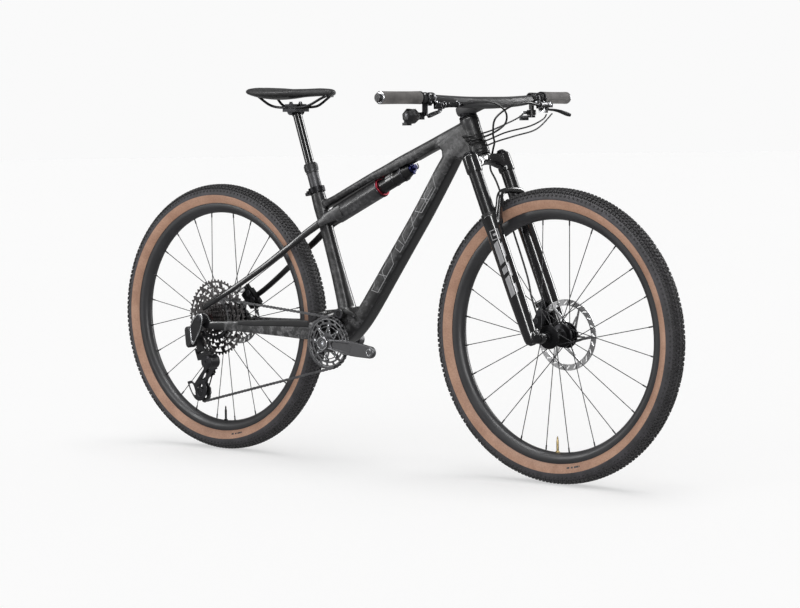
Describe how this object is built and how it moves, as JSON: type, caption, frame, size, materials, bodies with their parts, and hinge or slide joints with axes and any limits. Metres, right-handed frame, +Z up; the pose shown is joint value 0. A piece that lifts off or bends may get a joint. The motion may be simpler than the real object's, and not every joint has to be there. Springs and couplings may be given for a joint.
{
  "type": "mountain bike",
  "caption": "Full-suspension cross-country mountain bike with sprung fork, shock sleeve in the frame, sliding seatpost, disc brakes and a rear derailleur; no pedals.",
  "frame": {"origin": "on the ground, midway between the two axles and on the bike's middle plane", "axes": "+X forward, +Y to the rider's left, +Z up; the chain side faces -Y"},
  "size_m": [1.893, 0.7946, 1.0089],
  "materials": {
    "frame_carbon": "gloss",
    "carbon_satin": "satin",
    "fork_gloss": "gloss",
    "anodised_black": "satin",
    "dark_steel": "satin",
    "bright_steel": "satin",
    "silver": "satin",
    "tyre": "matt",
    "rim": "matt",
    "grip": "matt",
    "plastic": "matt",
    "cord": "satin",
    "chain_steel": "satin",
    "cog_black": "satin",
    "saddle_skin": "matt",
    "spoke_black": "satin"
  },
  "bodies": {
    "frame": {"front_triangle": "frame_carbon", "frame_bearings": "dark_steel", "seat_clamp": "anodised_black", "seatpost_outer": "anodised_black", "strut_tube": "carbon_satin", "frame_fittings": "anodised_black", "pivot_axle": "anodised_black", "chain": "chain_steel", "frame_cables": "cord", "rear_brake_hose": "cord"},
    "dropper": {"dropper_shaft": "fork_gloss", "saddle_clamp": "anodised_black", "saddle_rails": "dark_steel", "saddle_shell": "plastic", "saddle_cover": "saddle_skin"},
    "steering": {"fork_crown": "fork_gloss", "fork_stanchions": "fork_gloss", "steering_caps": "anodised_black", "handlebar": "carbon_satin", "grips": "grip", "brake_body_right": "anodised_black", "brake_body_left": "anodised_black", "shifter_body": "plastic", "remote_body": "anodised_black", "fork_cable": "cord", "front_brake_hose": "cord"},
    "fork_lowers": {"fork_lowers": "fork_gloss", "front_axle": "anodised_black", "front_caliper": "anodised_black"},
    "front_wheel": {"front_tyre": "tyre", "front_rim": "rim", "front_spokes": "spoke_black", "front_hub": "anodised_black", "front_disc": "bright_steel"},
    "swingarm": {"swingarm": "frame_carbon", "rear_axle": "anodised_black", "rear_caliper": "anodised_black", "derailleur_mount": "plastic"},
    "shock_sleeve": {"shock_sleeve": "carbon_satin"},
    "seatstays": {"seatstays": "frame_carbon"},
    "rear_wheel": {"rear_tyre": "tyre", "rear_rim": "rim", "rear_spokes": "spoke_black", "rear_hub": "anodised_black", "rear_disc": "bright_steel"},
    "cassette": {"cassette": "cog_black"},
    "crank": {"crank_right": "anodised_black", "crank_left": "anodised_black", "chainring": "anodised_black"},
    "derail_link": {"derailleur_link": "plastic"},
    "derail_knuckle": {"derailleur_knuckle": "plastic"},
    "derail_cage": {"derailleur_cage": "anodised_black"},
    "guide_pulley": {"guide_pulley": "plastic"},
    "tension_pulley": {"tension_pulley": "plastic"},
    "brake_lever_right": {"brake_lever_right": "anodised_black"},
    "brake_lever_left": {"brake_lever_left": "anodised_black"},
    "shift_paddle": {"shift_paddle": "plastic"},
    "remote_lever": {"remote_lever": "anodised_black"},
    "lockout_lever": {"lockout_lever": "silver"},
    "strut_spool": {"strut_spool": "anodised_black"}
  },
  "joints": [
    {"name": "steer", "type": "hinge", "parent": "frame", "child": "steering", "pos_m": [0.53385, 0, 0.35516], "axis": [-0.3827, 0, 0.9239], "range_deg": [-58, 58], "deforming": ["frame_cables", "rear_brake_hose"]},
    {"name": "fork_slide", "type": "slide", "parent": "steering", "child": "fork_lowers", "axis": [-0.3827, 0, 0.9239], "range_m": [0, 0.105], "stiffness_N_per_m": 6000, "springref_m": -0.008, "deforming": ["front_brake_hose"]},
    {"name": "front_wheel_spin", "type": "hinge", "parent": "fork_lowers", "child": "front_wheel", "pos_m": [0.5745, 0, 0.372], "axis": [0, 1, 0], "continuous": true},
    {"name": "rear_swing", "type": "hinge", "parent": "frame", "child": "swingarm", "pos_m": [-0.112, 0, 0.402], "axis": [0, 1, 0], "range_deg": [0, 9.9], "stiffness_Nm_per_rad": 1500, "springref_deg": -1.15},
    {"name": "strut_slide", "type": "slide", "parent": "frame", "child": "shock_sleeve", "axis": [0.9026, 0, 0.4305], "range_m": [0, 0.0432]},
    {"name": "seatstay_flex", "type": "hinge", "parent": "shock_sleeve", "child": "seatstays", "pos_m": [-0.19, 0, 0.64], "axis": [0, 1, 0], "range_deg": [0, 9]},
    {"name": "rear_wheel_spin", "type": "hinge", "parent": "swingarm", "child": "rear_wheel", "pos_m": [-0.5745, 0, 0.372], "axis": [0, 1, 0], "continuous": true},
    {"name": "crank_spin", "type": "hinge", "parent": "frame", "child": "crank", "pos_m": [-0.142, 0, 0.324], "axis": [0, 1, 0], "continuous": true, "deforming": ["chain"]},
    {"name": "cassette_spin", "type": "hinge", "parent": "swingarm", "child": "cassette", "pos_m": [-0.5745, 0, 0.372], "axis": [0, 1, 0], "continuous": true},
    {"name": "derail_shift", "type": "hinge", "parent": "swingarm", "child": "derail_link", "pos_m": [-0.604, -0.078, 0.322], "axis": [-0.9385, 0, -0.3453], "range_deg": [-20, 38]},
    {"name": "derail_parallel", "type": "hinge", "parent": "derail_link", "child": "derail_knuckle", "pos_m": [-0.59, -0.078, 0.284], "axis": [-0.9385, 0, -0.3453], "range_deg": [-38, 20]},
    {"name": "cage_swing", "type": "hinge", "parent": "derail_knuckle", "child": "derail_cage", "pos_m": [-0.562, -0.042, 0.252], "axis": [0, 1, 0], "range_deg": [-12, 14], "stiffness_Nm_per_rad": 1.5},
    {"name": "guide_pulley_spin", "type": "hinge", "parent": "derail_cage", "child": "guide_pulley", "pos_m": [-0.59, -0.042, 0.236], "axis": [0, 1, 0], "continuous": true},
    {"name": "tension_pulley_spin", "type": "hinge", "parent": "derail_cage", "child": "tension_pulley", "pos_m": [-0.622, -0.042, 0.162], "axis": [0, 1, 0], "continuous": true},
    {"name": "dropper_slide", "type": "slide", "parent": "frame", "child": "dropper", "axis": [-0.3123, 0, 0.95], "range_m": [-0.12, 0]},
    {"name": "brake_pull_right", "type": "hinge", "parent": "steering", "child": "brake_lever_right", "pos_m": [0.38609, -0.22371, 0.9435], "axis": [0, 0, -1], "range_deg": [0, 18], "stiffness_Nm_per_rad": 2, "springref_deg": -2.86},
    {"name": "brake_pull_left", "type": "hinge", "parent": "steering", "child": "brake_lever_left", "pos_m": [0.38609, 0.22371, 0.9435], "axis": [0, 0, 1], "range_deg": [0, 18], "stiffness_Nm_per_rad": 2, "springref_deg": -2.86},
    {"name": "shift_paddle_tilt", "type": "hinge", "parent": "steering", "child": "shift_paddle", "pos_m": [0.332, -0.281, 0.911], "axis": [0, 1, 0], "range_deg": [-7, 7], "stiffness_Nm_per_rad": 0.5},
    {"name": "remote_push", "type": "hinge", "parent": "steering", "child": "remote_lever", "pos_m": [0.35283, 0.19988, 0.9245], "axis": [0, 0, -1], "range_deg": [0, 25], "stiffness_Nm_per_rad": 0.5, "springref_deg": -5.73},
    {"name": "lockout_push", "type": "hinge", "parent": "steering", "child": "lockout_lever", "pos_m": [0.35668, 0.2408, 0.9365], "axis": [0, 0, 1], "range_deg": [0, 30]},
    {"name": "spool_turn", "type": "hinge", "parent": "frame", "child": "strut_spool", "pos_m": [0.11, 0, 0.788], "axis": [0.9026, 0, 0.4305], "range_deg": [0, 60]}
  ],
  "couplings": [
    {"joint": "strut_slide", "follows": "rear_swing", "m_per_rad": 0.2467},
    {"joint": "seatstay_flex", "follows": "rear_swing", "ratio": 0.8947},
    {"joint": "cassette_spin", "follows": "crank_spin", "ratio": 1.2143},
    {"joint": "guide_pulley_spin", "follows": "crank_spin", "ratio": -2.8333},
    {"joint": "tension_pulley_spin", "follows": "crank_spin", "ratio": 2.4286},
    {"joint": "derail_parallel", "follows": "derail_shift", "ratio": -1},
    {"joint": "spool_turn", "follows": "lockout_push", "ratio": 2}
  ]
}
